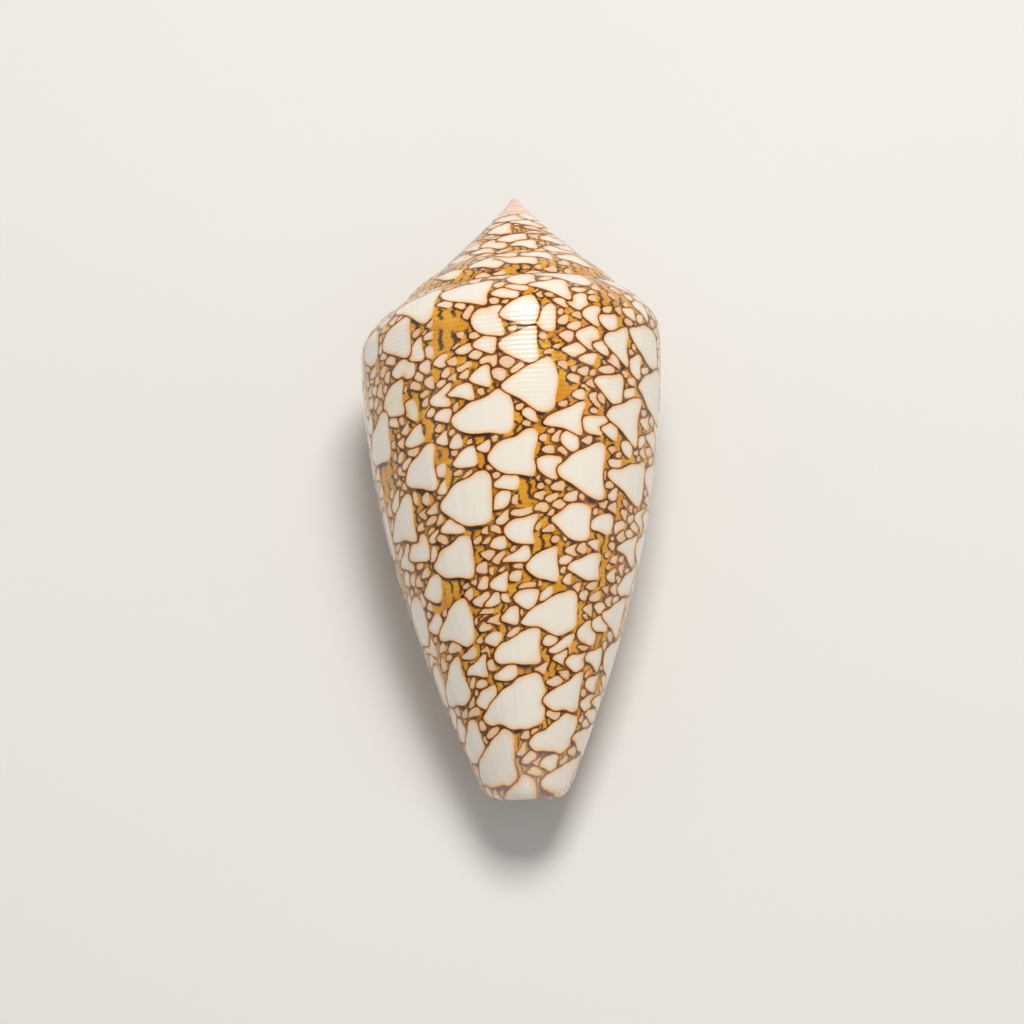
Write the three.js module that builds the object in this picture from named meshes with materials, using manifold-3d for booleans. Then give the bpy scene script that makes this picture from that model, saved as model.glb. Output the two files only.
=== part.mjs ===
// Cone shell, lying on its aperture. Millimetres, +Z up.
// The shell is one tube wound round an axis: its turns grow by a logistic law, so the spire is a
// nearly straight cone and the last turn a long tapering body. The aperture is a narrow slit that
// runs from the suture to the base, and the hollow behind it winds back into the shell.
import * as THREE from 'three';
import * as BufferGeometryUtils from 'three/addons/utils/BufferGeometryUtils.js';
import Module from 'manifold-3d';

// Driving dimensions: millimetres, turns and degrees.
const LENGTH = 73; // apex to base, along the axis
const BASE_LEAN = 12.4; // degrees that the base leans, its upper edge reaching further than its lower
const TAPER_DEPTH = 75; // the side narrows as if it went on to this depth
const SUTURE_RADIUS = 14.69; // of the suture where it meets the lip
const SPIRE_DEPTH = 14.2; // from the apex down to that point
const SPIRE_POWER = 0.93; // below 1 the spire is slightly hollow-sided
const GROWTH_RATE = 0.6; // per turn
const GROWTH_SLOWING = 0.948; // 0 would grow for ever
const TURNS = 7;
const RAMP_SLOPE = 0.513; // fall of the ramp between suture and shoulder, per millimetre outwards
const SUTURE_ANGLE = 63.5; // where the next turn meets this one, round the shoulder's quarter curve
const FLAT_BEFORE = -2.4; // turns up to here have a straight ramp from suture to suture
const ROUNDED_AFTER = -1; // turns from here on have the whole rounded one
const BASE_RATIO = 0.26; // radius there over shoulder radius, at the lip
const BASE_RATIO_GAIN = 0.138; // how much that ratio grows in a turn
const TAPER_POWER = 1.86;
const TAPER_BULGE = 0.033;
const CORE_RADIUS = 1.2; // the columella never gets thinner than this
const LIP_WALL = 0.9;
const BODY_WALL = 1.7;
const HOLLOW_TURNS = 0.7; // how far back from the lip the hollow is made
const NOTCH_TURNS = 0.028; // how far the lip's edge draws back on the ramp
const LIP_BOW_TURNS = 0.012; // how far it stands forward half way down
const LIP_SKEW_TURNS = 0.2; // the stretch over which the lip's edge takes that shape

// The shell at rest: the lip lies this far round from the top, and the apex end is raised.
const LIP_ROLL = 137.4;
const REST_PITCH = 8.5;
const WORN_DEPTH = 0.15; // the spots it lies on are worn flat this deep

// Mesh steps.
const STEPS = 48; // columns in a turn
const RAMP_ROWS = 3; // suture to the next suture
const SHOULDER_ROWS = 3;
const SIDE_ROWS = 12;
const ROWS = RAMP_ROWS + SHOULDER_ROWS + SIDE_ROWS;
const LIP = TURNS * STEPS; // the lip's column
const HOLLOW = Math.round(HOLLOW_TURNS * STEPS);

const { clamp, degToRad, lerp, smoothstep } = THREE.MathUtils;

// Radius and depth of the suture; turn is 0 at the lip and negative towards the apex.
function suture(turn) {
  const slowed = 1 + GROWTH_SLOWING * Math.exp(-GROWTH_RATE * turn);
  const radius = SUTURE_RADIUS * (1 + GROWTH_SLOWING) / slowed;
  const depth = SPIRE_DEPTH * (radius / SUTURE_RADIUS) ** SPIRE_POWER;
  return { radius, depth };
}

// The section of one turn: a sloping ramp that rounds over into the long side.
function section(turn) {
  const upper = suture(turn);
  const lower = suture(turn + 1);
  const reach = Math.sin(degToRad(SUTURE_ANGLE));
  const drop = 1 - Math.cos(degToRad(SUTURE_ANGLE));
  const rampWidth = (lower.radius - upper.radius) / reach;
  const fall = RAMP_SLOPE * rampWidth;
  const round = (lower.depth - upper.depth - fall * reach) / drop;
  return { upper, lower, rampWidth, fall, round };
}

// How the side narrows from the shoulder (way = 0) to the base (way = 1).
function taper(turn, way) {
  const baseRatio = BASE_RATIO + BASE_RATIO_GAIN * turn;
  return 1 - (1 - baseRatio) * way ** TAPER_POWER + TAPER_BULGE * Math.sin(Math.PI * way) * (1 - way);
}

// Radius at a depth on the side; the columella never gets thinner than its core.
function sideRadius(turn, depth) {
  const { upper, lower, rampWidth } = section(turn);
  const way = clamp((depth - lower.depth) / (TAPER_DEPTH - lower.depth), 0, 1);
  return Math.max((upper.radius + rampWidth) * taper(turn, way), CORE_RADIUS);
}

// Depth of the leaning base at a radius, on the side that a turn has reached.
function baseDepth(turn, radius) {
  return LENGTH + Math.tan(degToRad(BASE_LEAN)) * radius * Math.cos(degToRad(LIP_ROLL + 360 * turn));
}

// Radius and depth of a row of the section.
function sectionPoint(turn, row) {
  const { upper, lower, rampWidth, fall, round } = section(turn);
  const sutureAngle = degToRad(SUTURE_ANGLE);
  let angle = sutureAngle * row / RAMP_ROWS;
  if (row > RAMP_ROWS) {
    const past = clamp((row - RAMP_ROWS) / SHOULDER_ROWS, 0, 1);
    angle = lerp(sutureAngle, Math.PI / 2, past);
  }
  const sideWay = clamp((row - RAMP_ROWS - SHOULDER_ROWS) / SIDE_ROWS, 0, 1);
  let radius = upper.radius + rampWidth * Math.sin(angle);
  let depth = upper.depth + fall * Math.sin(angle) + round * (1 - Math.cos(angle));
  depth = lerp(depth, baseDepth(turn, sideRadius(turn, LENGTH)), sideWay);
  const way = clamp((depth - lower.depth) / (TAPER_DEPTH - lower.depth), 0, 1);
  if (way > 0) {
    radius = Math.max(radius * taper(turn, way), CORE_RADIUS);
  }
  const point = new THREE.Vector2(radius, depth);
  if (row < RAMP_ROWS) {
    const chord = new THREE.Vector2(lower.radius - upper.radius, lower.depth - upper.depth);
    const straight = chord.multiplyScalar((radius - upper.radius) / chord.x);
    straight.add(new THREE.Vector2(upper.radius, upper.depth));
    point.lerp(straight, 1 - smoothstep(turn, FLAT_BEFORE, ROUNDED_AFTER));
  }
  return point;
}

// The same point moved into the shell by the wall's thickness.
function innerPoint(turn, row, wall) {
  const point = sectionPoint(turn, row);
  if (row === ROWS) {
    return new THREE.Vector2(point.x - wall, baseDepth(turn, point.x - wall));
  }
  const along = sectionPoint(turn, row + 0.5).sub(sectionPoint(turn, row - 0.5)).normalize();
  return point.add(new THREE.Vector2(-along.y, along.x).multiplyScalar(wall));
}

// The lip's edge draws back on the ramp and stands forward half way down the side.
function lipSkew(column, row) {
  const turn = (column - LIP) / STEPS;
  const share = smoothstep(turn, -LIP_SKEW_TURNS, 0);
  const shoulderRow = RAMP_ROWS + SHOULDER_ROWS;
  if (row < shoulderRow) {
    return -share * NOTCH_TURNS * Math.sin(Math.PI * row / shoulderRow);
  }
  return share * LIP_BOW_TURNS * Math.sin(Math.PI * (row - shoulderRow) / SIDE_ROWS);
}

// The apex points along +Y, and the top of the lying shell faces +Z.
function place(point, turn) {
  const around = degToRad(LIP_ROLL + 360 * turn);
  return [-point.x * Math.sin(around), -point.y, point.x * Math.cos(around)];
}

function turnOf(column, row) {
  return (column - LIP) / STEPS + lipSkew(column, row);
}

function makeShellGeometry() {
  const positions = [];
  const faces = [];
  const addVertex = (point, turn) => positions.push(...place(point, turn)) / 3 - 1;
  const addQuad = (a, b, c, d) => faces.push(a, b, c, a, c, d);

  // Outer surface, one list of rows for each column. Each turn starts on the suture of the one
  // before, and only the last turn and the stretch behind the aperture go on down to the base.
  const firstFull = LIP - STEPS - HOLLOW;
  const outer = [];
  for (let column = 0; column <= LIP; column += 1) {
    const lastRow = column < firstFull ? RAMP_ROWS : ROWS;
    const rows = [];
    for (let row = 0; row <= lastRow; row += 1) {
      if (row === 0 && column >= STEPS) {
        rows.push(outer[column - STEPS][RAMP_ROWS]);
      } else {
        const turn = turnOf(column, row);
        rows.push(addVertex(sectionPoint(turn, row), turn));
      }
    }
    outer.push(rows);
  }

  // Inner surface of the last turn's wall. Its top row is the previous turn, below the suture.
  const inner = new Map();
  for (let column = LIP - HOLLOW; column <= LIP; column += 1) {
    const wall = lerp(BODY_WALL, LIP_WALL, smoothstep(column, LIP - HOLLOW / 2, LIP));
    const rows = [outer[column - STEPS][RAMP_ROWS + 1]];
    for (let row = 1; row <= ROWS; row += 1) {
      const turn = turnOf(column, row);
      rows.push(addVertex(innerPoint(turn, row, wall), turn));
    }
    inner.set(column, rows);
  }

  const addBand = (columns, column, firstRow, lastRow) => {
    const here = columns(column);
    const next = columns(column + 1);
    for (let row = firstRow; row < lastRow; row += 1) {
      addQuad(here[row], next[row], next[row + 1], here[row + 1]);
    }
  };
  for (let column = 0; column < LIP; column += 1) {
    addBand((at) => outer[at], column, 0, column < LIP - STEPS ? RAMP_ROWS : ROWS);
    if (column >= firstFull && column < LIP - STEPS) {
      addBand((at) => outer[at], column, RAMP_ROWS + 1, ROWS);
    }
  }
  for (let column = LIP - HOLLOW; column < LIP; column += 1) {
    const here = inner.get(column);
    const next = inner.get(column + 1);
    for (let row = 0; row < ROWS; row += 1) {
      addQuad(here[row], here[row + 1], next[row + 1], next[row]);
    }
  }

  // The lip's edge.
  const lipOuter = outer[LIP];
  const lipInner = inner.get(LIP);
  for (let row = 0; row < ROWS; row += 1) {
    addQuad(lipOuter[row + 1], lipOuter[row], lipInner[row], lipInner[row + 1]);
  }

  // The far end of the hollow.
  const endInner = inner.get(LIP - HOLLOW);
  const endOuter = outer[firstFull];
  for (let row = 1; row <= RAMP_ROWS; row += 1) {
    faces.push(endInner[0], endInner[row + 1], endInner[row]);
  }
  for (let row = RAMP_ROWS + 1; row < ROWS; row += 1) {
    addQuad(endInner[row + 1], endInner[row], endOuter[row], endOuter[row + 1]);
  }

  // The base: the wall's cut end round the hollow, and a solid fan over the rest.
  for (let column = LIP - HOLLOW; column < LIP; column += 1) {
    const outside = [outer[column][ROWS], outer[column + 1][ROWS]];
    const inside = [inner.get(column + 1)[ROWS], inner.get(column)[ROWS]];
    addQuad(...outside, ...inside);
  }
  const baseCentre = addVertex(new THREE.Vector2(0, LENGTH), 0);
  const hollowEnd = LIP - HOLLOW;
  for (let column = firstFull; column < hollowEnd - 1; column += 1) {
    faces.push(outer[column][ROWS], outer[column + 1][ROWS], baseCentre);
  }
  const beforeEnd = outer[hollowEnd - 1][ROWS];
  faces.push(beforeEnd, outer[hollowEnd][ROWS], endInner[ROWS]);
  faces.push(beforeEnd, endInner[ROWS], endOuter[ROWS]);
  faces.push(beforeEnd, endOuter[ROWS], baseCentre);

  // The tip of the spire: a fan over the first turn and the step at its start.
  const tip = addVertex(new THREE.Vector2(0, 0), 0);
  for (let column = 0; column < STEPS; column += 1) {
    faces.push(tip, outer[column + 1][0], outer[column][0]);
  }
  for (let row = 0; row < RAMP_ROWS; row += 1) {
    faces.push(tip, outer[0][row], outer[0][row + 1]);
  }

  const geometry = new THREE.BufferGeometry();
  geometry.setAttribute('position', new THREE.Float32BufferAttribute(positions, 3));
  geometry.setIndex(faces);
  return geometry;
}

function toSolid(wasm, geometry) {
  const bare = geometry.clone();
  bare.deleteAttribute('normal');
  bare.deleteAttribute('uv');
  const merged = BufferGeometryUtils.mergeVertices(bare);
  const vertProperties = new Float32Array(merged.attributes.position.array);
  const triVerts = new Uint32Array(merged.index.array);
  return new wasm.Manifold(new wasm.Mesh({ numProp: 3, vertProperties, triVerts }));
}

function toGeometry(solid) {
  const mesh = solid.getMesh();
  const geometry = new THREE.BufferGeometry();
  geometry.setAttribute('position', new THREE.Float32BufferAttribute(mesh.vertProperties, 3));
  geometry.setIndex(Array.from(mesh.triVerts));
  return geometry;
}

// Cuts the lowest spots flat, so that the shell lies on real faces.
function wearFlat(wasm, geometry) {
  geometry.computeBoundingBox();
  const floor = geometry.boundingBox.min.z + WORN_DEPTH;
  const side = 3 * LENGTH;
  const above = new THREE.BoxGeometry(side, side, side).translate(0, 0, floor + side / 2);
  return toGeometry(toSolid(wasm, geometry).intersect(toSolid(wasm, above)));
}

const wasm = await Module();
wasm.setup();

let shellGeometry = makeShellGeometry();
shellGeometry.rotateX(degToRad(REST_PITCH));
shellGeometry = wearFlat(wasm, shellGeometry);
shellGeometry.computeBoundingBox();
const centre = shellGeometry.boundingBox.getCenter(new THREE.Vector3());
shellGeometry.translate(-centre.x, -centre.y, -shellGeometry.boundingBox.min.z);
shellGeometry.computeVertexNormals();

const shellMaterial = new THREE.MeshStandardMaterial({ color: 0xd9c7a6, roughness: 0.22, metalness: 0 });
const shell = new THREE.Mesh(shellGeometry, shellMaterial);
shell.name = 'shell';

const coneShell = new THREE.Group();
coneShell.add(shell);

export default coneShell;
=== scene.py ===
import math

import bmesh
import bpy
import numpy as np
from mathutils import Matrix, Vector
from mathutils.kdtree import KDTree


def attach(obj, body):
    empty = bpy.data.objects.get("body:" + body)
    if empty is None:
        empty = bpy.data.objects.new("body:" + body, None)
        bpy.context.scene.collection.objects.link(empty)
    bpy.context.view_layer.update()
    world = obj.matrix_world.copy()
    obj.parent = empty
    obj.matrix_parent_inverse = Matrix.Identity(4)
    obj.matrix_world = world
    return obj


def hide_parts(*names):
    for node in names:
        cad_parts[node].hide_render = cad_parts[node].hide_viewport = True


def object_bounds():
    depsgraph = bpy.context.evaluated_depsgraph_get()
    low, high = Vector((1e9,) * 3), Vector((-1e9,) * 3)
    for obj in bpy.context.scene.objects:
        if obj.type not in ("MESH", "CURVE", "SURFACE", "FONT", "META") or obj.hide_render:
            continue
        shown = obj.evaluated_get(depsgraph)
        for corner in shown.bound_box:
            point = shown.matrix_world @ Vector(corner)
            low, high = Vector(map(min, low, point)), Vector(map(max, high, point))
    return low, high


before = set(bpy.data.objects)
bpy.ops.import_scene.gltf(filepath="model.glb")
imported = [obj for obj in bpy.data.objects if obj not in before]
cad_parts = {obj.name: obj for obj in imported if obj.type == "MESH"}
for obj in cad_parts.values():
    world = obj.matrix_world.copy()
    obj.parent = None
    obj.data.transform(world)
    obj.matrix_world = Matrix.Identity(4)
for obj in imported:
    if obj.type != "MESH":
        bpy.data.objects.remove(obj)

bl_info = {
    "name": "Cone Shell",
    "version": (1, 0, 0),
    "blender": (4, 5, 0),
    "location": "3D View > Sidebar > Cone Shell",
    "description": "Grows a cone shell, draws its tents and lights it on a plain floor",
    "category": "Object",
}

CAD_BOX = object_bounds()
NODE = "shell"
BODY = "root"
SHELL_NAME = "cone_shell"

# Mesh steps of the fine outer surface, in a turn and down the section.
COLUMNS = 336
SPIRE_TURNS = 7
RAMP_ROWS = 12
SHOULDER_ROWS = 6
SIDE_ROWS = 158
TIP_RINGS = 4

# The hollow behind the aperture is plain, with one row for every few of the outer surface's.
COARSE = 4
HOLLOW_COLUMNS = 48
HOLLOW_TURNS = 0.7
ROOF_ROW = 4  # rows below the suture where the hollow's roof starts, and faces across the lip
SEAM_ROWS = 14  # rows over which the lip's edge leaves the suture

# Millimetres.
MM = 0.001
WORN_DEPTH = 0.15  # the shell's lowest spots are worn flat this deep
HOLLOW_CLEARANCE = 0.15
TIP_BLUNTING = 0.12
BASE_ROUNDING_REACH = 1.1
MERGE_DISTANCE = 0.001
TIP_ANGLE = 0.9  # radians that the tip's dome turns through

# Uneven growth: ridges in a turn, their height in millimetres, lean in radians per millimetre, start.
GROWTH_RIDGES = (
    (7, 0.05, 0.05, 0.1),
    (19, 0.03, -0.04, 0.6),
    (43, 0.014, 0.09, 0.3),
    (71, 0.010, -0.07, 0.8),
)

# The tents, in millimetres.
GROUPS = 6  # of tents, so that neighbours stay apart
FAR = 1.0  # distances are kept up to this far outside a tent
TENT_REACH = 1.1
OVERRUN = 0.05  # turns by which tents are thrown past the lip, which cuts them off
LINE_WIDTH = 0.17  # of the brown line between two tents
FRINGE_WIDTH = 0.4
CORNER_ROUNDING = 0.26
CLOSING_WIDTH = 0.15
CLOSING_GAIN = 0.12  # a taller tent closes with a thicker line
OCHRE_SPACING = 40.0  # degrees between the ochre zones
OCHRE_START = -0.388  # turn of one of them
OCHRE_WANDER = 7.0  # degrees that a zone strays to either side

WAVE_RADIUS = 15.0  # the waves' lengths along the growth are true at this radius

# Slow waves that bend the tents' outlines: height, length, heading in radians, start.
ALONG_WAVES = ((0.20, 6.3, 0.9, 0.1), (0.11, 3.7, 2.2, 0.5), (0.035, 1.7, 0.4, 0.2))
ACROSS_WAVES = ((0.18, 5.7, 2.5, 0.3), (0.10, 3.3, 0.5, 0.8), (0.035, 1.9, 1.3, 0.4))

# Sizes of tents, largest first, as each finds room among those before it: how many are tried,
# least and greatest length, least and greatest height over the root of the length, the share of
# a tent that others may take, and how far the tents keep out of the ochre zones.
BODY_TENTS = (
    (200, (4.8, 7.2), (2.0, 2.9), 0.05, 1.2),
    (260, (3.4, 5.4), (1.5, 2.5), 0.12, 1.3),
    (900, (2.2, 3.6), (1.2, 2.1), 0.3, 1.4),
    (9000, (1.3, 2.3), (1.0, 1.6), 0.34, 1.5),
    (20000, (0.9, 1.4), (0.9, 1.3), 0.3, 1.5),
)
SPIRE_TENTS = (
    (300, (2.4, 5.0), (0.9, 1.6), 0.3, 1.2),
    (1500, (1.2, 2.4), (0.7, 1.2), 0.3, 1.3),
    (3000, (0.7, 1.2), (0.6, 0.9), 0.25, 1.3),
)

# The camera: degrees, millimetres from the shell's middle, and what it takes in from side to side.
CAMERA_ELEVATION = 69.1
CAMERA_AZIMUTH = 0.0
CAMERA_ROLL = -1.92
CAMERA_TARGET = (-0.46, -2.6, 0.0)
CAMERA_FIELD = 120.8
CAMERA_LENS = 300.0
CAMERA_SENSOR = 36.0

# The lights: name, direction from the shell's middle, distance, size, watts, tint. Metres.
SOFTBOXES = (
    ("key", (0.12, 0.35, 0.93), 0.5, (0.17, 0.21), 2.1, (1.0, 0.97, 0.93)),
    ("left_fill", (-0.9, 0.1, 0.5), 0.6, (0.5, 0.5), 0.35, (1.0, 1.0, 1.0)),
    ("right_fill", (0.9, -0.1, 0.5), 0.6, (0.5, 0.5), 0.35, (1.0, 1.0, 1.0)),
    ("low_fill", (0.0, -0.9, 0.6), 0.6, (0.5, 0.5), 0.3, (1.0, 1.0, 1.0)),
)
FLOOR_SIZE = 3.0
WORLD_TINT = (1.0, 0.98, 0.95, 1.0)
WORLD_STRENGTH = 0.3

# How the ramp, the shoulder and the side follow one another down a section.
RAMP_END = 1.0
SHOULDER_END = 2.0
SIDE_END = 3.0

# The material's patterns, the blush of the base and the tip, and the angle that stays sharp.
TURN_LENGTH = 94.0  # millimetres along a turn, half way down the body
STREAKS = 66.0  # dark lines in a turn
BASE_BLUSH = 0.85
BASE_BLUSH_START = 52.0  # millimetres down from the suture
TIP_BLUSH_DEPTHS = (4.6, 2.4)  # millimetres from the tip where its blush starts and is full
SHARP_ANGLE = 38.0  # degrees

# What is painted on the mesh, three values a layer.
TENTS_A = "tents_a"  # distances inside tents, three groups in each of two layers
TENTS_B = "tents_b"
GROUND = "ground"  # tone of the tent, closing shade, open ground
GROWTH = "growth"  # turn, millimetres from the suture, fringe
FINISH = "finish"  # outside, millimetres to a suture, blush
PAINT_LAYERS = (TENTS_A, TENTS_B, GROUND, GROWTH, FINISH)


# ---------------------------------------------------------------- properties


class ShellSizes(bpy.types.PropertyGroup):
    """The shell's driving sizes, in millimetres, turns and degrees."""

    length: bpy.props.FloatProperty(name="Length", description="Tip to base along the axis, mm", default=73.0)
    base_lean: bpy.props.FloatProperty(
        name="Base lean", description="How much further the base's upper edge reaches, degrees", default=12.4
    )
    taper_depth: bpy.props.FloatProperty(
        name="Taper depth", description="The side narrows as if it went on to this depth, mm", default=75.0
    )
    suture_radius: bpy.props.FloatProperty(
        name="Suture radius", description="Of the suture where it meets the lip, mm", default=14.69
    )
    spire_depth: bpy.props.FloatProperty(
        name="Spire depth", description="From the tip down to that point, mm", default=14.2
    )
    spire_power: bpy.props.FloatProperty(
        name="Spire power", description="Below 1 the spire is hollow-sided", default=0.93
    )
    growth_rate: bpy.props.FloatProperty(name="Growth rate", description="Per turn", default=0.6)
    growth_slowing: bpy.props.FloatProperty(
        name="Growth slowing", description="0 would grow for ever", default=0.948
    )
    ramp_slope: bpy.props.FloatProperty(
        name="Ramp slope", description="Fall of the ramp per millimetre outwards", default=0.513
    )
    suture_angle: bpy.props.FloatProperty(
        name="Suture angle",
        description="Where the next turn meets the shoulder's curve, degrees",
        default=63.5,
    )
    base_ratio: bpy.props.FloatProperty(
        name="Base ratio", description="Base radius over shoulder radius at the lip", default=0.26
    )
    base_ratio_gain: bpy.props.FloatProperty(
        name="Base ratio gain", description="How much that ratio grows in a turn", default=0.138
    )
    taper_power: bpy.props.FloatProperty(
        name="Taper power", description="How late the side narrows", default=1.86
    )
    taper_bulge: bpy.props.FloatProperty(
        name="Taper bulge", description="Swelling below the shoulder", default=0.033
    )
    core_radius: bpy.props.FloatProperty(
        name="Core radius", description="Thinnest columella, mm", default=1.2
    )
    flat_before: bpy.props.FloatProperty(
        name="Flat before", description="Turns up to here have a straight ramp", default=-2.4
    )
    rounded_after: bpy.props.FloatProperty(
        name="Rounded after", description="Turns from here on have a rounded ramp", default=-1.0
    )
    lip_wall: bpy.props.FloatProperty(name="Lip wall", description="Wall at the lip's edge, mm", default=0.9)
    body_wall: bpy.props.FloatProperty(name="Body wall", description="Wall deeper in, mm", default=1.7)
    notch: bpy.props.FloatProperty(
        name="Notch", description="How far the lip draws back on the ramp, turns", default=0.028
    )
    bow: bpy.props.FloatProperty(
        name="Bow", description="How far the lip stands forward, turns", default=0.012
    )
    lip_stretch: bpy.props.FloatProperty(
        name="Lip stretch", description="Turns over which the lip's edge takes its shape", default=0.2
    )
    base_rounding: bpy.props.FloatProperty(
        name="Base rounding", description="Length of the base's rounded edge, mm", default=1.5
    )
    lip_rounding: bpy.props.FloatProperty(
        name="Lip rounding",
        description="How far the lip's edge stands forward in its middle, mm",
        default=0.3,
    )
    lip_roll: bpy.props.FloatProperty(
        name="Lip roll", description="How far round from the top the lip lies, degrees", default=137.4
    )
    rest_pitch: bpy.props.FloatProperty(
        name="Rest pitch", description="How much the tip's end is raised, degrees", default=8.5
    )
    thread_pitch: bpy.props.FloatProperty(
        name="Thread pitch", description="Distance between the fine spiral threads, mm", default=0.57
    )
    seed: bpy.props.IntProperty(name="Seed", description="Seed of the tents", default=11)


def colour_property(name, description, default):
    return bpy.props.FloatVectorProperty(
        name=name,
        description=description,
        default=default,
        subtype="COLOR",
        size=3,
        min=0.0,
        max=1.0,
    )


class ShellColours(bpy.types.PropertyGroup):
    """The shell's colours, in linear light."""

    cream: colour_property("Cream", "Large tents", (0.84, 0.79, 0.70))
    lilac: colour_property("Lilac", "Small tents", (0.66, 0.52, 0.47))
    straw: colour_property("Straw", "Yellowish tents", (0.74, 0.66, 0.42))
    fringe: colour_property("Fringe", "Warm fade inside a tent's straight side", (0.86, 0.42, 0.11))
    ochre: colour_property("Ochre", "Open ground", (0.66, 0.265, 0.010))
    amber: colour_property("Amber", "Lighter open ground", (0.76, 0.37, 0.03))
    brown: colour_property("Brown", "Thin lines", (0.20, 0.050, 0.007))
    umber: colour_property("Umber", "Thick closing lines", (0.040, 0.007, 0.003))
    plum: colour_property("Plum", "Greyish closing lines", (0.105, 0.040, 0.036))
    blush: colour_property("Blush", "Tip and base", (0.84, 0.60, 0.50))
    porcelain: colour_property("Porcelain", "Aperture and lip", (0.80, 0.77, 0.72))
    floor: colour_property("Floor", "The floor", (0.74, 0.73, 0.71))


# ---------------------------------------------------------------- the growth law


def smooth_step(low, high, value):
    share = np.clip((value - low) / (high - low), 0.0, 1.0)
    return share * share * (3.0 - 2.0 * share)


def suture(sizes, turn):
    """Radius and depth of the suture: turn is 0 at the lip and negative towards the tip."""
    slowed = 1.0 + sizes.growth_slowing * np.exp(-sizes.growth_rate * turn)
    radius = sizes.suture_radius * (1.0 + sizes.growth_slowing) / slowed
    depth = sizes.spire_depth * (radius / sizes.suture_radius) ** sizes.spire_power
    return radius, depth


def side_radius(sizes, turn, depth, shoulder_radius):
    """Radius at a depth on the side; the columella never gets thinner than its core."""
    lower_depth = suture(sizes, turn + 1.0)[1]
    way = np.clip((depth - lower_depth) / (sizes.taper_depth - lower_depth), 0.0, 1.0)
    base_ratio = sizes.base_ratio + sizes.base_ratio_gain * turn
    taper = 1.0 - (1.0 - base_ratio) * way**sizes.taper_power
    taper = taper + sizes.taper_bulge * np.sin(math.pi * way) * (1.0 - way)
    return np.where(way > 0.0, np.maximum(shoulder_radius * taper, sizes.core_radius), shoulder_radius)


def base_depth(sizes, turn, radius):
    """Depth of the leaning base at a radius, on the side that a turn has reached."""
    around = math.radians(sizes.lip_roll) + 2.0 * math.pi * turn
    return sizes.length + math.tan(math.radians(sizes.base_lean)) * radius * np.cos(around)


def section(sizes, turn, place):
    """Radius and depth at a place down the section of a turn."""
    upper_radius, upper_depth = suture(sizes, turn)
    lower_radius, lower_depth = suture(sizes, turn + 1.0)
    meeting = math.radians(sizes.suture_angle)
    reach = math.sin(meeting)
    width = (lower_radius - upper_radius) / reach
    fall = sizes.ramp_slope * width
    rounding = (lower_depth - upper_depth - fall * reach) / (1.0 - math.cos(meeting))
    ramp_way = np.clip(place, 0.0, RAMP_END)
    shoulder_way = np.clip(place - RAMP_END, 0.0, 1.0)
    side_way = np.clip(place - SHOULDER_END, 0.0, 1.0)
    angle = meeting * ramp_way + (math.pi / 2 - meeting) * shoulder_way
    radius = upper_radius + width * np.sin(angle)
    depth = upper_depth + fall * np.sin(angle) + rounding * (1.0 - np.cos(angle))
    end_radius = side_radius(sizes, turn, sizes.length, upper_radius + width)
    depth = depth + (base_depth(sizes, turn, end_radius) - depth) * side_way
    radius = side_radius(sizes, turn, depth, radius)
    chord = (radius - upper_radius) / (lower_radius - upper_radius)
    straight_depth = upper_depth + chord * (lower_depth - upper_depth)
    straight = (place < RAMP_END) * (1.0 - smooth_step(sizes.flat_before, sizes.rounded_after, turn))
    return radius, depth + (straight_depth - depth) * straight


def lip_skew(sizes, turn, place):
    """The lip's edge draws back on the ramp and stands forward half way down the side."""
    share = smooth_step(-sizes.lip_stretch, 0.0, turn)
    notch = -sizes.notch * np.sin(math.pi * np.clip(place / SHOULDER_END, 0.0, 1.0))
    bow = sizes.bow * np.sin(math.pi * np.clip(place - SHOULDER_END, 0.0, 1.0))
    return share * np.where(place < SHOULDER_END, notch, bow)


def around_axis(sizes, radius, depth, turn):
    """Points of the lying shell before it is set down: the tip points along +Y, raised a little."""
    angle = math.radians(sizes.lip_roll) + 2.0 * math.pi * turn
    points = np.stack([-radius * np.sin(angle), -depth, radius * np.cos(angle)], axis=-1)
    pitch = math.radians(sizes.rest_pitch)
    tip_up = np.array(
        [
            [1.0, 0.0, 0.0],
            [0.0, math.cos(pitch), -math.sin(pitch)],
            [0.0, math.sin(pitch), math.cos(pitch)],
        ]
    )
    return points @ tip_up.T


# ---------------------------------------------------------------- the sheets


class Sheet:
    """A grid over the surface: rows go down the section and columns along the growth."""

    def __init__(self, sizes, turns, places):
        self.sizes = sizes
        self.turn, self.place = np.meshgrid(turns, places)
        self.skewed = self.turn + lip_skew(sizes, self.turn, self.place)
        self.radius, self.depth = section(sizes, self.skewed, self.place)
        self.measure()

    def measure(self):
        """Millimetres from the suture, down the section."""
        steps = np.hypot(np.diff(self.radius, axis=0), np.diff(self.depth, axis=0))
        self.down = np.concatenate([np.zeros((1, self.turn.shape[1])), np.cumsum(steps, axis=0)])

    def points(self):
        return around_axis(self.sizes, self.radius, self.depth, self.skewed)


def ramp_places():
    return np.linspace(0.0, RAMP_END, RAMP_ROWS + 1)


def full_places():
    shoulder = np.linspace(RAMP_END, SHOULDER_END, SHOULDER_ROWS + 1)
    side = np.linspace(SHOULDER_END, SIDE_END, SIDE_ROWS + 1)
    return np.concatenate([ramp_places(), shoulder[1:], side[1:]])


def add_growth_ridges(sheet):
    """Faint ridges of uneven growth. Whole numbers of them in a turn agree at the sutures."""
    ridges = np.zeros_like(sheet.radius)
    for count, height, lean, start in GROWTH_RIDGES:
        ridges += height * np.sin(2.0 * math.pi * (count * sheet.skewed + start) + lean * sheet.depth)
    sheet.radius = sheet.radius + ridges * np.clip(sheet.radius / 15.0, 0.0, 1.0)


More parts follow.
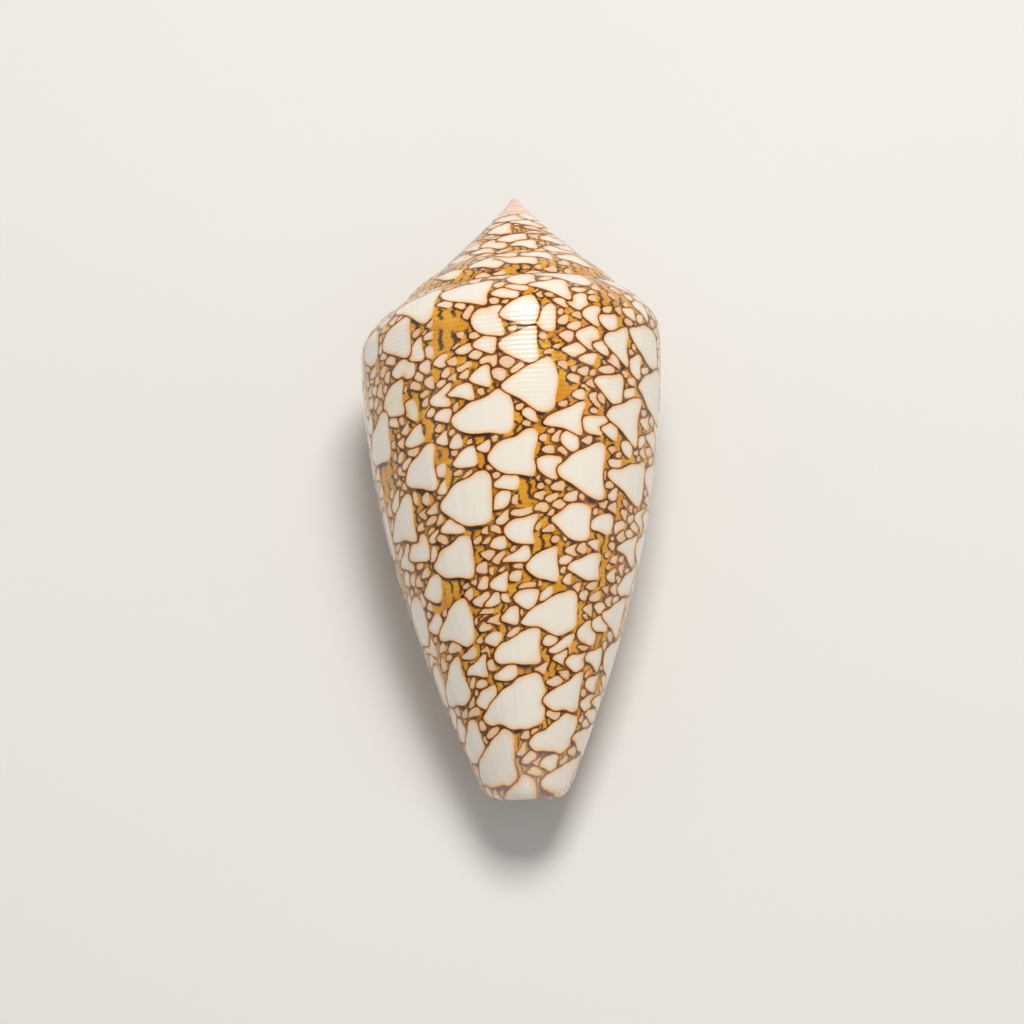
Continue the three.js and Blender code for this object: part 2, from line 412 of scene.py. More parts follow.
def round_base(sheet):
    """The outer edge of the base is rounded off."""
    sizes = sheet.sizes
    start = sheet.depth[-1] - sizes.base_rounding
    way = np.clip((sheet.depth - start) / sizes.base_rounding, 0.0, 1.0)
    reach = BASE_ROUNDING_REACH * np.clip(sheet.radius[-1] - 2.0 * sizes.core_radius, 0.1, 1.0)
    sheet.radius = sheet.radius - reach * (1.0 - np.sqrt(1.0 - 0.98 * way**2))
    sheet.depth[-1] = base_depth(sizes, sheet.skewed[-1], sheet.radius[-1])


def make_spire_sheet(sizes):
    turns = np.arange(-SPIRE_TURNS * COLUMNS, -COLUMNS + 1) / COLUMNS
    sheet = Sheet(sizes, turns, ramp_places())
    add_growth_ridges(sheet)
    return sheet


def make_body_sheet(sizes):
    sheet = Sheet(sizes, np.arange(-COLUMNS, 1) / COLUMNS, full_places())
    add_growth_ridges(sheet)
    round_base(sheet)
    return sheet


def hollow_turns():
    """Columns of the plain hollow: they stop one step short of the lip."""
    return np.linspace(-HOLLOW_TURNS, 0.0, HOLLOW_COLUMNS + 1)[:-1]


def make_columella_sheet(sizes):
    """The turn before, as the hollow's inner side."""
    sheet = Sheet(sizes, hollow_turns() - 1.0, full_places()[RAMP_ROWS + ROOF_ROW :: COARSE])
    round_base(sheet)
    return sheet


def move_inwards(sheet, wall):
    """Moves a sheet into the shell by the wall's thickness, clear of the turn before."""
    sizes = sheet.sizes
    step = 0.01
    ahead = section(sizes, sheet.skewed, np.minimum(sheet.place + step, SIDE_END))
    behind = section(sizes, sheet.skewed, np.maximum(sheet.place - step, 0.0))
    along = np.stack([ahead[0] - behind[0], ahead[1] - behind[1]])
    along = along / np.hypot(along[0], along[1])
    radius = sheet.radius - wall * along[1]
    end = base_depth(sizes, sheet.skewed, radius)
    depth = np.minimum(sheet.depth + wall * along[0], end)
    before = np.linspace(RAMP_END, SIDE_END, 4 * SIDE_ROWS)
    for column, turn in enumerate(sheet.turn[0] - 1.0):
        core_radius, core_depth = section(sizes, np.full_like(before, turn), before)
        clear = np.interp(depth[:, column], core_depth, core_radius) + HOLLOW_CLEARANCE
        radius[:, column] = np.maximum(radius[:, column], clear)
    depth[-1] = base_depth(sizes, sheet.skewed[-1], radius[-1])
    sheet.radius = radius
    sheet.depth = depth


def make_inner_sheet(sizes):
    """The inside of the last turn's wall. Its first row is the roof line on the turn before."""
    sheet = Sheet(sizes, hollow_turns(), full_places()[::COARSE])
    share = smooth_step(-HOLLOW_TURNS / 2.0, 0.0, sheet.turn)
    move_inwards(sheet, sizes.body_wall + (sizes.lip_wall - sizes.body_wall) * share)
    roof = full_places()[RAMP_ROWS + ROOF_ROW]
    sheet.skewed[0] = hollow_turns() - 1.0
    sheet.radius[0], sheet.depth[0] = section(sizes, sheet.skewed[0], np.full(HOLLOW_COLUMNS, roof))
    return sheet


def make_rim_points(sizes, body):
    """The lip's rounded edge. Its first row is the body's own first column, suture to roof."""
    outer = body.points()[:, -1]
    inside = Sheet(sizes, np.zeros(1), full_places())
    move_inwards(inside, sizes.lip_wall)
    inner = inside.points()[:, 0]
    forward = np.gradient(body.points(), axis=1)[:, -1]
    forward = forward / np.linalg.norm(forward, axis=1, keepdims=True)
    seam = body.points()[RAMP_ROWS : RAMP_ROWS + ROOF_ROW + 1, 0]
    taken = smooth_step(0.0, SEAM_ROWS, np.arange(len(outer)))[:, None]
    columns = []
    for number in range(ROOF_ROW + 1):
        way = number / ROOF_ROW
        plain = outer + (inner - outer) * way + forward * sizes.lip_rounding * math.sin(math.pi * way)
        near_seam = outer + seam[number] - seam[0]
        columns.append(near_seam + (plain - near_seam) * taken)
    rim = np.stack(columns, axis=1)
    rim[0] = seam
    return rim


def make_tip_points(sizes, spire):
    """A small dome over the first turn and the step at its start."""
    edge = spire.points()
    loop = np.concatenate([edge[0, : COLUMNS + 1], edge[:, 0][::-1][1:]])
    tip = around_axis(sizes, np.zeros(1), np.full(1, TIP_BLUNTING), np.zeros(1))[0]
    rings = []
    for ring in range(TIP_RINGS + 1):
        angle = TIP_ANGLE * ring / TIP_RINGS
        outwards = math.sin(angle) / math.sin(TIP_ANGLE)
        down = (1.0 - math.cos(angle)) / (1.0 - math.cos(TIP_ANGLE))
        axis = around_axis(sizes, np.zeros(1), np.ones(1), np.zeros(1))[0]
        along = ((loop - tip) @ axis)[:, None] * axis
        rings.append(tip + along * down + (loop - tip - along) * outwards)
    return np.stack(rings)


# ---------------------------------------------------------------- modelling


def clear_selection():
    if bpy.context.mode != "OBJECT":
        bpy.ops.object.mode_set(mode="OBJECT")
    bpy.ops.object.select_all(action="DESELECT")


def add_sheet_mesh(name, points, paint):
    """Adds a grid and lays it over the points; paint holds values for every point."""
    clear_selection()
    rows, columns = points.shape[:2]
    bpy.ops.mesh.primitive_grid_add(x_subdivisions=columns - 1, y_subdivisions=rows - 1, size=1.0)
    piece = bpy.context.object
    piece.name = name
    mesh = piece.data
    if len(mesh.vertices) != rows * columns:
        raise RuntimeError(f"{name}: the grid has {len(mesh.vertices)} points")
    for layer in list(mesh.uv_layers):
        mesh.uv_layers.remove(layer)
    mesh.vertices.foreach_set("co", (points * MM).astype(np.float32).ravel())
    corners = np.empty(len(mesh.loops), dtype=np.int32)
    mesh.loops.foreach_get("vertex_index", corners)
    for layer in PAINT_LAYERS:
        attribute = mesh.attributes.new(layer, "FLOAT_VECTOR", "CORNER")
        values = paint.get(layer)
        if values is not None:
            flat = values.reshape(-1, 3)[corners]
            attribute.data.foreach_set("vector", flat.astype(np.float32).ravel())
    mesh.update()
    return piece


def join_sheets(pieces, name):
    clear_selection()
    for piece in pieces:
        piece.select_set(True)
    bpy.context.view_layer.objects.active = pieces[0]
    bpy.ops.object.join()
    piece = bpy.context.object
    piece.name = name
    piece.data.name = name
    bpy.ops.object.mode_set(mode="EDIT")
    bpy.ops.mesh.select_all(action="SELECT")
    bpy.ops.mesh.remove_doubles(threshold=MERGE_DISTANCE * MM)
    bpy.ops.object.mode_set(mode="OBJECT")
    return piece


def select_chains(piece, chains):
    """In edge mode, selects the edges that run along the given points."""
    tree = KDTree(len(piece.data.vertices))
    for vertex in piece.data.vertices:
        tree.insert(vertex.co, vertex.index)
    tree.balance()
    clear_selection()
    piece.select_set(True)
    bpy.context.view_layer.objects.active = piece
    bpy.ops.object.mode_set(mode="EDIT")
    bpy.ops.mesh.select_mode(type="EDGE")
    bpy.ops.mesh.select_all(action="DESELECT")
    shape = bmesh.from_edit_mesh(piece.data)
    shape.verts.ensure_lookup_table()
    for chain in chains:
        found = [shape.verts[tree.find(Vector(point * MM))[1]] for point in chain]
        for here, there in zip(found, found[1:]):
            edge = shape.edges.get((here, there))
            if edge is None:
                raise RuntimeError("an edge of the shell's opening is missing")
            edge.select_set(True)
    bmesh.update_edit_mesh(piece.data)


def bridge(piece, first_chain, second_chain):
    select_chains(piece, [first_chain, second_chain])
    bpy.ops.mesh.bridge_edge_loops()
    bpy.ops.object.mode_set(mode="OBJECT")


def fill(piece, corner_points):
    select_chains(piece, [corner_points])
    bpy.ops.mesh.edge_face_add()
    bpy.ops.object.mode_set(mode="OBJECT")


def close_base(piece):
    """One flat face over what is still open, cut into triangles."""
    clear_selection()
    piece.select_set(True)
    bpy.context.view_layer.objects.active = piece
    bpy.ops.object.mode_set(mode="EDIT")
    bpy.ops.mesh.select_mode(type="EDGE")
    bpy.ops.mesh.select_all(action="DESELECT")
    bpy.ops.mesh.select_non_manifold(extend=False, use_wire=False, use_multi_face=False, use_verts=False)
    bpy.ops.mesh.edge_face_add()
    bpy.ops.mesh.quads_convert_to_tris(ngon_method="BEAUTY")
    bpy.ops.mesh.select_all(action="SELECT")
    bpy.ops.mesh.normals_make_consistent(inside=False)
    bpy.ops.object.mode_set(mode="OBJECT")


def set_down(piece):
    """Puts the shell where the frame's shell lies, and wears its lowest spots flat."""
    mesh = piece.data
    places = np.empty(len(mesh.vertices) * 3)
    mesh.vertices.foreach_get("co", places)
    places = places.reshape(-1, 3)
    low, high = places.min(axis=0), places.max(axis=0)
    middle = (np.array(CAD_BOX[0]) + np.array(CAD_BOX[1])) / 2.0
    places[:, :2] += middle[:2] - (low[:2] + high[:2]) / 2.0
    places[:, 2] += CAD_BOX[0][2] - low[2] - WORN_DEPTH * MM
    places[:, 2] = np.maximum(places[:, 2], CAD_BOX[0][2])
    mesh.vertices.foreach_set("co", places.astype(np.float32).ravel())
    mesh.update()


# ---------------------------------------------------------------- the tents


def soft_minimum(first, second, rounding):
    share = np.clip(0.5 + 0.5 * (second - first) / rounding, 0.0, 1.0)
    return second + (first - second) * share - rounding * share * (1.0 - share)


def ripple(turn, down, waves):
    """Slow waves over the surface, in millimetres."""
    along = 2.0 * math.pi * WAVE_RADIUS * turn
    total = np.zeros_like(turn)
    for height, length, heading, start in waves:
        total += height * np.sin(
            2.0 * math.pi * ((along * math.cos(heading) + down * math.sin(heading)) / length + start)
        )
    return total


class Tent:
    """A three-cornered cell: its rounded nose points to the lip, its open side away from it."""

    def __init__(self, back, down, length, height, lean=0.0, hollow=0.0, power=0.62):
        self.turn = -back / 360.0
        self.down = down
        self.length = length
        self.half = height / 2.0
        self.lean = lean
        self.hollow = hollow
        self.power = power

    def distances(self, along, across):
        """Millimetres inside the tent, inside its open side, and how near its nose a point is."""
        across = across - self.lean * along
        way = along / self.length
        spread = np.abs(across) / self.half
        inside = (1.0 - way) - spread ** (1.0 / self.power)
        steep = spread ** (1.0 / self.power - 1.0) / (self.power * self.half)
        sides = inside / np.hypot(1.0 / self.length, steep)
        mouth = along - self.hollow * self.length * (1.0 - np.minimum(spread, 1.2) ** 2)
        rounding = 0.6 * min(self.length, self.half)
        return soft_minimum(sides, mouth, rounding) + 0.1 * rounding, mouth, way, across / self.half


class Pattern:
    """The tents of one sheet."""

    def __init__(self, sheet, seed):
        self.turn = sheet.skewed
        self.down = sheet.down
        self.radius = sheet.radius
        self.union = np.full(self.turn.shape, -FAR)
        self.groups = np.full((GROUPS, *self.turn.shape), -FAR)
        self.tone = np.zeros(self.turn.shape)
        self.closing = np.zeros(self.turn.shape)
        self.fringe = np.zeros(self.turn.shape)
        calm = np.clip(self.radius / 12.0, 0.1, 1.0)
        self.warp_along = ripple(self.turn, self.down, ALONG_WAVES) * calm
        self.warp_across = ripple(self.turn, self.down, ACROSS_WAVES) * calm
        self.random = np.random.default_rng(seed)

    def radius_at(self, turn, down):
        column = int(np.clip(np.searchsorted(self.turn[0], turn), 0, self.turn.shape[1] - 1))
        row = int(np.clip(np.searchsorted(self.down[:, column], down), 0, self.turn.shape[0] - 1))
        return self.radius[row, column]

    def window(self, tent):
        """The rows and columns that a tent can reach."""
        around = 2.0 * math.pi * self.radius_at(tent.turn, tent.down)
        ends = np.searchsorted(
            self.turn[-1], [tent.turn - TENT_REACH / around, tent.turn + (tent.length + TENT_REACH) / around]
        )
        if ends[0] == ends[1]:
            return None
        middle = min((ends[0] + ends[1]) // 2, self.turn.shape[1] - 1)
        low = tent.down - tent.half - TENT_REACH + min(0.0, tent.lean * tent.length)
        high = tent.down + tent.half + TENT_REACH + max(0.0, tent.lean * tent.length)
        rows = np.searchsorted(self.down[:, middle], [low, high])
        if rows[0] == rows[1]:
            return None
        return slice(rows[0], rows[1]), slice(ends[0], ends[1])

    def stamp(self, tent, most_taken=1.0):
        """Draws a tent up to its neighbours. Says False if they take too much of it."""
        window = self.window(tent)
        if window is None:
            return False
        along = 2.0 * math.pi * self.radius[window] * (self.turn[window] - tent.turn)
        along = along + self.warp_along[window]
        across = self.down[window] - tent.down + self.warp_across[window]
        inside, mouth, way, side = tent.distances(along, across)
        union = self.union[window]
        own = inside > 0.0
        if not own.any():
            return False
        taken = own & (union > -LINE_WIDTH)
        if taken.sum() > most_taken * own.sum():
            return False
        field = soft_minimum(inside, -union - LINE_WIDTH, CORNER_ROUNDING)
        near = field > -0.6
        crowding = [self.groups[number][window][near].max() for number in range(GROUPS)]
        group = self.groups[int(np.argmin(crowding))][window]
        np.maximum(group, np.maximum(field, -FAR), out=group)
        leads = field > union
        tone = np.clip((4.2 - tent.length - tent.half) / 3.4, 0.0, 1.0) + self.random.uniform(-0.12, 0.12)
        self.tone[window][leads] = tone
        self.fringe[window][leads] = np.exp(-np.maximum(mouth, 0.0) / FRINGE_WIDTH)[leads]
        shade_width = CLOSING_WIDTH + CLOSING_GAIN * tent.half
        below = 0.7 + 0.3 * np.clip(side, -1.0, 1.0)
        shade = np.exp(-((np.maximum(-inside, 0.0) / (shade_width * below)) ** 2))
        shade = shade * smooth_step(-0.05, 0.3, way)
        closing = self.closing[window]
        np.maximum(closing, shade, out=closing)
        np.maximum(union, field, out=union)
        return True

    def scatter(self, number, lengths, heights, most_taken, sparing, depth):
        """Throws tents over the sheet in the order of growth and keeps those that find room."""
        first, last = self.turn[0, 0], self.turn[0, -1]
        turns = np.sort(self.random.uniform(first, last + OVERRUN, number))
        for turn in turns:
            down = self.random.uniform(0.0, depth)
            length = self.random.uniform(*lengths)
            height = self.random.uniform(*heights) * length ** 0.5
            lean = self.lean(turn, down) + self.random.normal(0.0, 0.09)
            hollow = self.random.uniform(-0.12, 0.16)
            power = self.random.uniform(0.5, 0.78)
            if self.random.random() < sparing * self.open_ground(turn, down):
                continue
            around = 2.0 * math.pi * self.radius_at(turn, down)
            back = -360.0 * (turn - length / around)
            self.stamp(Tent(back, down, length, height, lean, hollow, power), most_taken)

    def lean(self, turn, down):
        """Tents lean with the growth lines: noses high to the left of the top, low to the right."""
        return 0.12 * math.sin(2.0 * math.pi * (turn + 0.38)) + 0.004 * (down - 20.0)

    def open_ground(self, turn, down):
        """1 in the middle of an ochre zone, where few tents grow."""
        wander = OCHRE_WANDER * math.sin(0.24 * down + 20.0 * turn)
        zone = math.cos(math.pi * (360.0 * (turn - OCHRE_START) + wander) / OCHRE_SPACING) ** 4
        patch = 0.62 + 0.38 * math.sin(down * 0.32 + 9.0 * math.floor(0.5 + 360.0 * turn / OCHRE_SPACING))
        return zone * patch * float(smooth_step(62.0, 42.0, down))

    def ground_width(self):
        """Wide ground is ochre and narrow ground is a brown line."""
        bare = np.clip(-self.union, 0.0, 1.2)
        wide = bare
        for _ in range(2):
            padded = np.pad(wide, 1, mode="edge")
            above, below = padded[:-2, 1:-1], padded[2:, 1:-1]
            left, right = padded[1:-1, :-2], padded[1:-1, 2:]
            wide = np.max([padded[1:-1, 1:-1], above, below, left, right], axis=0)
        for _ in range(2):
            padded = np.pad(wide, 1, mode="edge")
            wide = (padded[1:-1, 1:-1] * 2 + padded[:-2, 1:-1] + padded[2:, 1:-1]) / 4
            padded = np.pad(wide, 1, mode="edge")
            wide = (padded[1:-1, 1:-1] * 2 + padded[1:-1, :-2] + padded[1:-1, 2:]) / 4
        return smooth_step(0.12, 0.27, wide)

    def layers(self, suture_distance, blush):
        groups = self.groups
        return {
            TENTS_A: np.stack(list(groups[:3]), axis=-1),
            TENTS_B: np.stack(list(groups[3:]), axis=-1),
            GROUND: np.stack([self.tone, self.closing, self.ground_width()], axis=-1),
            GROWTH: np.stack([self.turn, self.down, self.fringe], axis=-1),
            FINISH: np.stack([np.ones_like(self.turn), suture_distance, blush], axis=-1),
        }


def paint_body(sheet, seed):
    pattern = Pattern(sheet, seed)
    depth = sheet.down.max()
    for size in BODY_TENTS:
        pattern.scatter(*size, depth)
    base = BASE_BLUSH * smooth_step(BASE_BLUSH_START, depth, sheet.down)
    return pattern.layers(sheet.down, base)


def paint_spire(sheet, seed):
    pattern = Pattern(sheet, seed)
    width = sheet.down[-1].max()
    for size in SPIRE_TENTS:
        pattern.scatter(*size, width)
    nearest = np.minimum(sheet.down, sheet.down[-1] - sheet.down)
    tip = smooth_step(*TIP_BLUSH_DEPTHS, sheet.depth)
    return pattern.layers(nearest, tip)


def paint_rim(rim, layers):
    """The pattern runs over the lip's edge and fades into the white inside."""
    across = np.linspace(1.0, 0.0, rim.shape[1])[None, :, None]
    painted = {}
    for layer in PAINT_LAYERS:
        painted[layer] = np.repeat(layers[layer][:, -1:], rim.shape[1], axis=1)
    painted[FINISH] = painted[FINISH] * np.concatenate([across**0.5, across * 0 + 1, across * 0 + 1], axis=2)
    return painted


def make_shell(sizes):
    spire = make_spire_sheet(sizes)
    body = make_body_sheet(sizes)
    inner = make_inner_sheet(sizes)
    columella = make_columella_sheet(sizes)
    rim = make_rim_points(sizes, body)
    body_paint = paint_body(body, sizes.seed)
    spire_paint = paint_spire(spire, sizes.seed + 1)
    tip = make_tip_points(sizes, spire)
    tip_paint = {
        TENTS_A: np.full((*tip.shape[:2], 3), -FAR),
        TENTS_B: np.full((*tip.shape[:2], 3), -FAR),
        FINISH: np.broadcast_to(np.array([1.0, 1.0, 1.0]), (*tip.shape[:2], 3)),
    }
    pieces = [
        add_sheet_mesh("body", body.points(), body_paint),
        add_sheet_mesh("spire", spire.points(), spire_paint),
        add_sheet_mesh("tip", tip, tip_paint),
        add_sheet_mesh("rim", rim, paint_rim(rim, body_paint)),
        add_sheet_mesh("inner", inner.points(), {}),
        add_sheet_mesh("columella", columella.points(), {}),
    ]
    shell = join_sheets(pieces, SHELL_NAME)
    seam = body.points()[RAMP_ROWS + ROOF_ROW :, 0]
    inner_points = inner.points()
    core_points = columella.points()
    bridge(shell, seam, core_points[:, -1])
    bridge(shell, rim[:, -1], inner_points[:, -1])
    bridge(shell, inner_points[1:, 0], core_points[1:, 0])
    fill(shell, np.stack([inner_points[1, 0], inner_points[0, 0], core_points[1, 0]]))
    close_base(shell)
    set_down(shell)
    clear_selection()
    shell.select_set(True)
    bpy.context.view_layer.objects.active = shell
    bpy.ops.object.shade_smooth_by_angle(angle=math.radians(SHARP_ANGLE))
    return shell


# ---------------------------------------------------------------- shader maths


class Value:
    """A node's output that can be used in Python expressions."""

    def __init__(self, shader, socket):
        self.shader = shader
        self.socket = socket

    def math(self, operation, *others):
        inputs = {0: self}
        for number, other in enumerate(others):
            inputs[number + 1] = other
        return self.shader.node("ShaderNodeMath", {"operation": operation}, inputs)

    def __add__(self, other):
        return self.math("ADD", other)

    def __sub__(self, other):
        return self.math("SUBTRACT", other)

    def __mul__(self, other):
        return self.math("MULTIPLY", other)

    __radd__ = __add__
    __rmul__ = __mul__

    def __rsub__(self, other):
        return self.shader.node("ShaderNodeMath", {"operation": "SUBTRACT"}, {0: other, 1: self})

    def larger(self, other):
        return self.math("MAXIMUM", other)

    def sine(self):
        return self.math("SINE")

    def exponential(self):
        return self.math("EXPONENT")

    def step(self, low, high):
        """0 below low, 1 above high, smooth between."""
        settings = {"interpolation_type": "SMOOTHSTEP", "clamp": True}
        inputs = {"Value": self, "From Min": low, "From Max": high}
        return self.shader.node("ShaderNodeMapRange", settings, inputs)


class Shader:
    """A material's node tree."""

    def __init__(self, material):
        self.tree = material.node_tree
        self.tree.nodes.clear()

    def node(self, kind, settings, inputs, output=0):
        node = self.tree.nodes.new(kind)
        for name, value in settings.items():
            setattr(node, name, value)
        for key, value in inputs.items():
            socket = node.inputs[key]
            if isinstance(value, Value):
                self.tree.links.new(value.socket, socket)
            else:
                socket.default_value = value
        return Value(self, node.outputs[output])

    def finish(self, surface):
        """Makes a surface the material's own."""
        output = self.tree.nodes.new("ShaderNodeOutputMaterial")
        self.tree.links.new(surface.socket, output.inputs["Surface"])

    def attribute(self, name):
        """The three values of a painted layer."""
        vector = self.node("ShaderNodeAttribute", {"attribute_name": name}, {}, "Vector")
        return [self.node("ShaderNodeSeparateXYZ", {}, {0: vector}, number) for number in range(3)]

    def vector(self, first, second, third):
        return self.node("ShaderNodeCombineXYZ", {}, {0: first, 1: second, 2: third})

    def noise(self, vector, scale, detail=2.0, roughness=0.5):
        inputs = {"Vector": vector, "Scale": scale, "Detail": detail, "Roughness": roughness}
        return self.node("ShaderNodeTexNoise", {}, inputs)

    def mix(self, first, second, share):
        """Colours: all of the first where share is 0, all of the second where it is 1."""
        settings = {"data_type": "RGBA", "clamp_factor": True}
        return self.node("ShaderNodeMix", settings, {0: share, 6: first, 7: second}, 2)


def colour(values):
    return (*values, 1.0)


def make_shell_material(sizes, colours):
    material = bpy.data.materials.new("cone_shell_glaze")
    material.use_nodes = True
    shader = Shader(material)
    tents = shader.attribute(TENTS_A) + shader.attribute(TENTS_B)
    tone, closing, wide = shader.attribute(GROUND)
    turn, down, fringe = shader.attribute(GROWTH)
    outside, suture_distance, blush = shader.attribute(FINISH)
    inside = tents[0]
    for tent in tents[1:]:
        inside = inside.larger(tent)

    place = shader.vector(turn * TURN_LENGTH, down, 0.0)
    fine = shader.noise(place, 1.6, 3.0, 0.6)
    slow = shader.noise(place, 0.25, 2.0)
    ragged = inside + (shader.noise(place, 2.2, 2.0, 0.6) - 0.5) * 0.07

    # The ground: ochre where it is wide, with dark wavy lines along the growth.
    wander = shader.noise(shader.vector(down, turn * 9.0, 0.0), 0.75, 3.0, 0.6)
    streak = (turn * (2.0 * math.pi * STREAKS) + wander * 11.0).sine()
    broken = shader.noise(shader.vector(turn * 30.0, down * 0.7, 4.0), 0.8, 2.0)
    dark = streak.step(0.1, 0.95) * broken.step(0.36, 0.52)
    threads = (down * (2.0 * math.pi / sizes.thread_pitch)).sine()
    ochre = shader.mix(colour(colours.ochre), colour(colours.amber), slow.step(0.35, 0.65))
    ochre = shader.mix(ochre, colour(colours.brown), fine.step(0.5, 0.8) * 0.45)
    ochre = shader.mix(ochre, colour(colours.brown), threads.step(0.2, 1.0) * 0.16)
    open_ground = shader.mix(ochre, colour(colours.umber), dark * 0.9)
    line = shader.mix(colour(colours.brown), colour(colours.umber), slow.step(0.4, 0.62) * 0.45)
    ground = shader.mix(line, open_ground, wide)
    shade = shader.mix(colour(colours.umber), colour(colours.plum), slow.step(0.5, 0.75))
    ground = shader.mix(ground, shade, closing.step(0.2, 0.75) * (wide * 0.6 + 0.4))
    ground = shader.mix(ground, colour(colours.lilac), blush.step(0.2, 0.9) * 0.4)

    # The tents: white, warm near their outlines and most of all on the open side.
    white = shader.mix(colour(colours.cream), colour(colours.lilac), tone.step(0.15, 0.95))
    white = shader.mix(white, colour(colours.straw), shader.noise(place, 0.11, 1.0).step(0.62, 0.75) * 0.6)
    rim = (ragged * -4.0).exponential() * 0.98
    opening = (ragged * -3.2).exponential() * fringe
    white = shader.mix(white, colour(colours.fringe), rim.larger(opening * 0.85))
    white = shader.mix(white, colour(colours.blush), blush * 0.14)

    pattern = shader.mix(ground, white, ragged.step(-0.05, 0.045))
    suture = suture_distance.step(0.16, 0.05)
    pattern = shader.mix(pattern, colour(colours.brown), suture * 0.8)
    pattern = shader.mix(pattern, colour(colours.blush), blush.step(0.9, 1.0) * 0.85)
    finished = shader.mix(colour(colours.porcelain), pattern, outside.step(0.2, 0.8))

    near_shoulder = down.step(26.0, 4.0) * 0.8 + 0.2
    growth_lines = shader.noise(shader.vector(turn * 60.0, down * 0.05, 0.0), 2.4, 4.0, 0.6)
    relief = threads * near_shoulder * 0.010 + growth_lines * 0.03 + fine * 0.008
    bump = shader.node(
        "ShaderNodeBump", {}, {"Strength": 1.0, "Distance": MM, "Height": relief * outside}, "Normal"
    )
    roughness = 0.17 + fine * 0.08 + (1.0 - outside) * 0.12
    finish = shader.node(
        "ShaderNodeBsdfPrincipled",
        {},
        {
            "Base Color": finished,
            "Roughness": roughness,
            "IOR": 1.5,
            "Coat Weight": 0.35,
            "Coat Roughness": 0.05,
            "Subsurface Weight": 0.06,
            "Subsurface Radius": (1.0, 0.6, 0.4),
            "Subsurface Scale": 0.6 * MM,
            "Normal": bump,
        },
    )
    shader.finish(finish)
    return material


# ---------------------------------------------------------------- the stage


def aim(thing, place, target, roll=0.0):
    """Puts a thing at a place, looking at a target."""
    turned = (Vector(target) - Vector(place)).to_track_quat("-Z", "Y").to_matrix()
    thing.rotation_euler = (turned @ Matrix.Rotation(roll, 3, "Z")).to_euler()
    thing.location = place


def add_softbox(target, name, direction, distance, size, watts, tint):
    clear_selection()
    bpy.ops.object.light_add(type="AREA")
    light = bpy.context.object
    light.name = name
    light.data.shape = "RECTANGLE"
    light.data.size, light.data.size_y = size
    light.data.energy = watts
    light.data.color = tint
    aim(light, Vector(target) + Vector(direction).normalized() * distance, target)


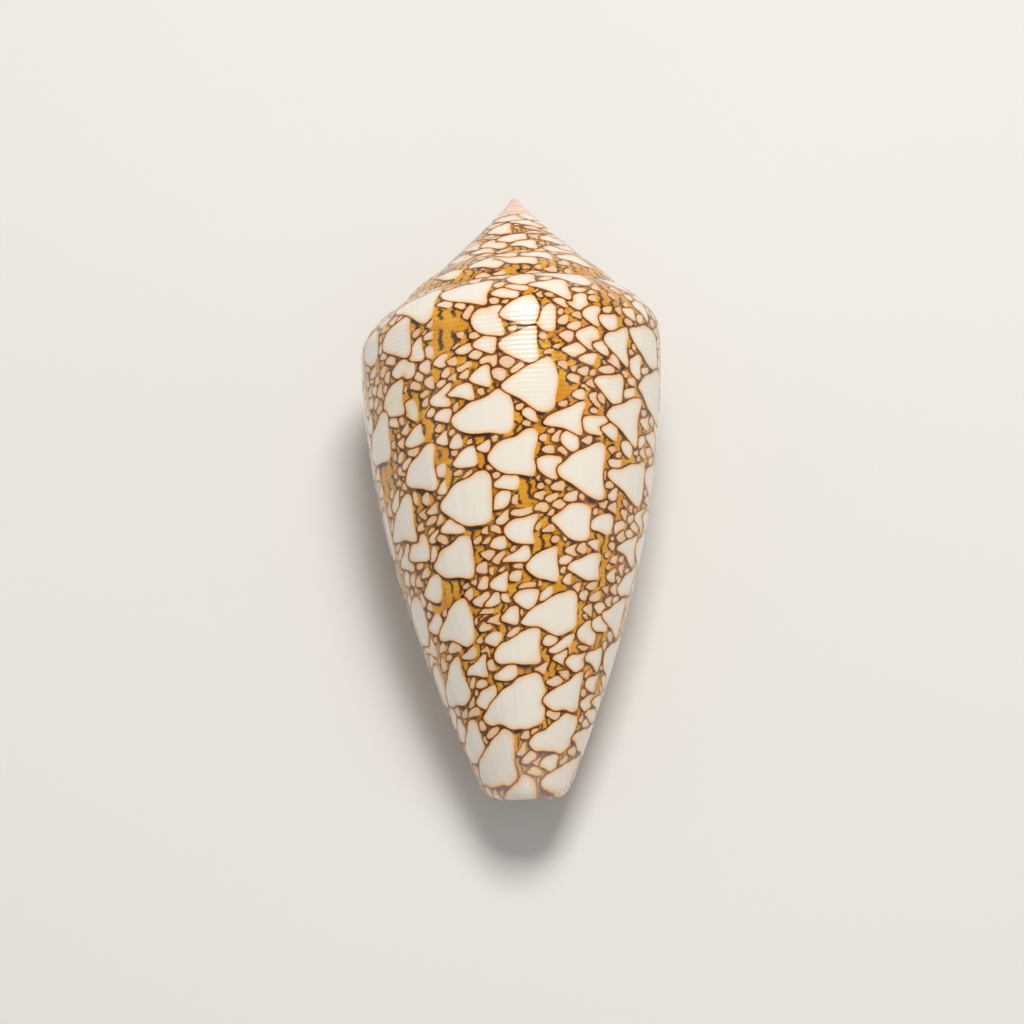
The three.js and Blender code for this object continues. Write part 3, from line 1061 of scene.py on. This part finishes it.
def make_stage(colours):
    low, high = CAD_BOX
    middle = (Vector(low) + Vector(high)) / 2.0

    clear_selection()
    bpy.ops.mesh.primitive_plane_add(size=FLOOR_SIZE, location=(middle.x, middle.y, low[2]))
    floor = bpy.context.object
    floor.name = "floor"
    bpy.ops.object.transform_apply(location=True, rotation=False, scale=False)
    material = bpy.data.materials.new("plain_floor")
    material.use_nodes = True
    shader = Shader(material)
    paper = shader.node(
        "ShaderNodeBsdfPrincipled", {}, {"Base Color": colour(colours.floor), "Roughness": 0.85}
    )
    shader.finish(paper)
    floor.data.materials.append(material)

    world = bpy.data.worlds.new("studio")
    world.use_nodes = True
    world.node_tree.nodes["Background"].inputs["Color"].default_value = WORLD_TINT
    world.node_tree.nodes["Background"].inputs["Strength"].default_value = WORLD_STRENGTH
    bpy.context.scene.world = world
    bpy.context.scene.view_settings.view_transform = "Standard"

    for softbox in SOFTBOXES:
        add_softbox(middle, *softbox)

    clear_selection()
    bpy.ops.object.camera_add()
    camera = bpy.context.object
    camera.name = "camera"
    camera.data.lens = CAMERA_LENS
    camera.data.sensor_width = CAMERA_SENSOR
    elevation = math.radians(CAMERA_ELEVATION)
    azimuth = math.radians(CAMERA_AZIMUTH)
    direction = Vector(
        (
            math.sin(azimuth) * math.cos(elevation),
            -math.cos(azimuth) * math.cos(elevation),
            math.sin(elevation),
        )
    )
    target = middle + Vector(CAMERA_TARGET) * MM
    distance = CAMERA_FIELD * MM * CAMERA_LENS / CAMERA_SENSOR
    aim(camera, target + direction * distance, target, math.radians(CAMERA_ROLL))
    bpy.context.scene.camera = camera


# ---------------------------------------------------------------- operators


class CONESHELL_OT_make_shell(bpy.types.Operator):
    """Grow the shell and draw its tents"""

    bl_idname = "coneshell.make_shell"
    bl_label = "Make the shell"

    def execute(self, context):
        sizes = context.scene.cone_shell_sizes
        shell = make_shell(sizes)
        shell.data.materials.clear()
        shell.data.materials.append(make_shell_material(sizes, context.scene.cone_shell_colours))
        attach(shell, BODY)
        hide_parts(NODE)
        return {"FINISHED"}


class CONESHELL_OT_make_stage(bpy.types.Operator):
    """Lay the floor and set up the lights and the camera"""

    bl_idname = "coneshell.make_stage"
    bl_label = "Make the stage"

    def execute(self, context):
        make_stage(context.scene.cone_shell_colours)
        return {"FINISHED"}


class CONESHELL_PT_panel(bpy.types.Panel):
    """The shell's buttons, sizes and colours"""

    bl_idname = "CONESHELL_PT_panel"
    bl_label = "Cone Shell"
    bl_space_type = "VIEW_3D"
    bl_region_type = "UI"
    bl_category = "Cone Shell"

    def draw(self, context):
        self.layout.operator("coneshell.make_stage")
        self.layout.operator("coneshell.make_shell")
        for group in (context.scene.cone_shell_sizes, context.scene.cone_shell_colours):
            column = self.layout.column()
            for name in group.__annotations__:
                column.prop(group, name)


CLASSES = (
    ShellSizes,
    ShellColours,
    CONESHELL_OT_make_stage,
    CONESHELL_OT_make_shell,
    CONESHELL_PT_panel,
)


def register():
    for kind in CLASSES:
        bpy.utils.register_class(kind)
    bpy.types.Scene.cone_shell_sizes = bpy.props.PointerProperty(type=ShellSizes)
    bpy.types.Scene.cone_shell_colours = bpy.props.PointerProperty(type=ShellColours)


def unregister():
    del bpy.types.Scene.cone_shell_colours
    del bpy.types.Scene.cone_shell_sizes
    for kind in reversed(CLASSES):
        bpy.utils.unregister_class(kind)


def main():
    register()
    bpy.ops.coneshell.make_stage()
    bpy.ops.coneshell.make_shell()


if __name__ == "__main__":
    main()
